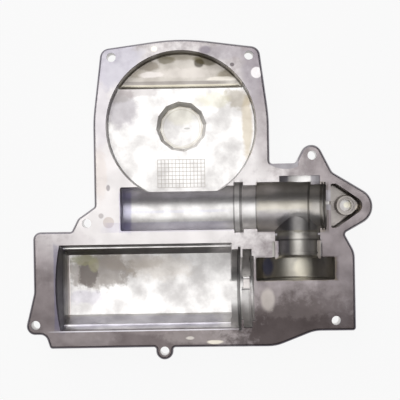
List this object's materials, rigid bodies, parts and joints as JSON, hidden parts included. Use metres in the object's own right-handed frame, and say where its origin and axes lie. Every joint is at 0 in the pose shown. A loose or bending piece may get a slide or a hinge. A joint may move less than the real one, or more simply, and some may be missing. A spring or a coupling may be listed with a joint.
{
  "type": "gearbox housing half",
  "caption": "Open die cast half of a geared motor housing with a wheel chamber, worm trough, cross shaft seats and a motor cradle.",
  "frame": {"origin": "on the joint face, on the axis of the round wheel chamber", "axes": "+Z out of the joint face, away from the pockets; +X along the worm trough from its blind end to the nose; +Y up through the wheel chamber"},
  "size_m": [0.2511, 0.2305, 0.0326],
  "materials": {
    "die_cast_aluminium": "as cast, joint face milled"
  },
  "bodies": {
    "root": {"housing": "die_cast_aluminium"}
  },
  "joints": []
}
